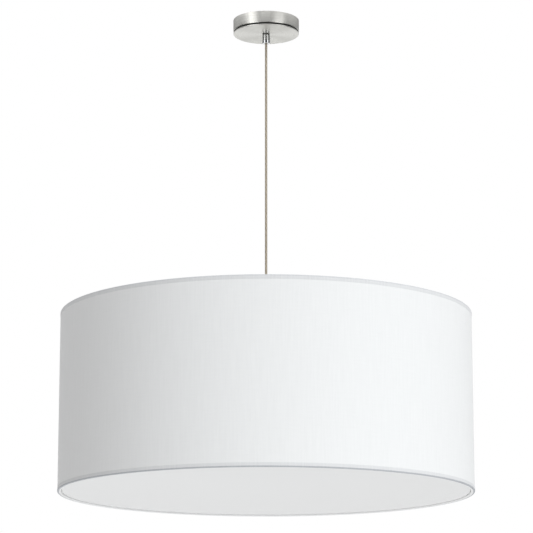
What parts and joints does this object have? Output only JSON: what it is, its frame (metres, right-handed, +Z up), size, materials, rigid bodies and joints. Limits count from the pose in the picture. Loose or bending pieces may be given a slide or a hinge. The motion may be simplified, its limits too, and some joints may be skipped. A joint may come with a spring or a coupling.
{
  "type": "drum pendant light",
  "caption": "Wide white drum shade with a flat diffuser and a lamp cluster inside, hung by one clear flex from a round brushed nickel ceiling canopy.",
  "frame": {"origin": "centre of the mounting bar's upper face, in the ceiling plane", "axes": "+Z up into the ceiling; the light hangs along -Z; the bar lies along X"},
  "size_m": [0.762, 0.762, 0.9051],
  "materials": {
    "satin_nickel": "satin brushed nickel plate",
    "polished_chrome": "polished chrome plate",
    "zinc_steel": "bright zinc plated steel",
    "brass": "turned brass",
    "cap_metal": "rolled lamp cap metal",
    "white_enamel": "white powder coat",
    "white_fabric": "plain woven white shade fabric",
    "white_lining": "white styrene sheet",
    "diffuser_film": "frosted white sheet",
    "opal_globe": "opal, satin",
    "phenolic": "moulded, matt",
    "nylon": "moulded nylon",
    "silver_flex": "clear sheath over silvery cores",
    "black_lead": "insulated wire",
    "white_lead": "insulated wire",
    "green_lead": "insulated wire",
    "green_screw": "green lacquered steel"
  },
  "bodies": {
    "ceiling": {"mounting_bar": "zinc_steel", "terminal_block": "nylon", "ground_screw": "green_screw", "canopy": "satin_nickel", "canopy_screw_1": "satin_nickel", "canopy_screw_2": "satin_nickel", "grip_locknut": "brass", "grip_stem": "brass", "grip_cap": "polished_chrome", "grip_insert": "nylon", "flex_tail": "silver_flex", "live_lead": "black_lead", "neutral_lead": "white_lead", "ground_lead": "green_lead"},
    "flex": {"flex": "silver_flex"},
    "stem": {"lower_grip_cap": "polished_chrome", "lower_grip_insert": "nylon", "nipple": "zinc_steel", "ring_nut": "zinc_steel", "cap_nut": "satin_nickel", "inner_flex": "silver_flex"},
    "pendant": {"spider_washer": "white_enamel", "stem_collar": "white_enamel", "top_hoop": "white_enamel", "bottom_hoop": "white_enamel", "shade_lining": "white_lining", "shade_fabric": "white_fabric", "cluster_housing": "white_enamel", "cluster_cover": "white_enamel", "spider_arm_1": "white_enamel", "magnet_catch_1": "zinc_steel", "cluster_arm_1": "white_enamel", "lampholder_1": "phenolic", "screw_shell_1": "brass", "spider_arm_2": "white_enamel", "magnet_catch_2": "zinc_steel", "cluster_arm_2": "white_enamel", "lampholder_2": "phenolic", "screw_shell_2": "brass", "spider_arm_3": "white_enamel", "magnet_catch_3": "zinc_steel", "cluster_arm_3": "white_enamel", "lampholder_3": "phenolic", "screw_shell_3": "brass", "spider_arm_4": "white_enamel", "magnet_catch_4": "zinc_steel", "cluster_arm_4": "white_enamel", "lampholder_4": "phenolic", "screw_shell_4": "brass"},
    "diffuser": {"diffuser_hoop": "zinc_steel", "diffuser_sheet": "diffuser_film"},
    "bulb_1": {"bulb_cap_1": "cap_metal", "bulb_globe_1": "opal_globe"},
    "bulb_2": {"bulb_cap_2": "cap_metal", "bulb_globe_2": "opal_globe"},
    "bulb_3": {"bulb_cap_3": "cap_metal", "bulb_globe_3": "opal_globe"},
    "bulb_4": {"bulb_cap_4": "cap_metal", "bulb_globe_4": "opal_globe"}
  },
  "joints": [
    {"name": "flex_swing", "type": "hinge", "parent": "ceiling", "child": "flex", "pos_m": [0, 0, -0.0455], "axis": [0, 1, 0], "range_deg": [-15, 15]},
    {"name": "pendant_tilt", "type": "hinge", "parent": "flex", "child": "stem", "pos_m": [0, 0, -0.59026], "axis": [1, 0, 0], "range_deg": [-15, 15]},
    {"name": "pendant_twist", "type": "hinge", "parent": "stem", "child": "pendant", "pos_m": [0, 0, -0.59026], "axis": [0, 0, 1], "range_deg": [-180, 180]},
    {"name": "diffuser_drop", "type": "slide", "parent": "pendant", "child": "diffuser", "axis": [0, 0, -1], "range_m": [0, 0.1]},
    {"name": "bulb_1_out", "type": "slide", "parent": "pendant", "child": "bulb_1", "axis": [0.7071, 0.7071, 0], "range_m": [0, 0.03]},
    {"name": "bulb_2_out", "type": "slide", "parent": "pendant", "child": "bulb_2", "axis": [-0.7071, 0.7071, 0], "range_m": [0, 0.03]},
    {"name": "bulb_3_out", "type": "slide", "parent": "pendant", "child": "bulb_3", "axis": [-0.7071, -0.7071, 0], "range_m": [0, 0.03]},
    {"name": "bulb_4_out", "type": "slide", "parent": "pendant", "child": "bulb_4", "axis": [0.7071, -0.7071, 0], "range_m": [0, 0.03]}
  ]
}
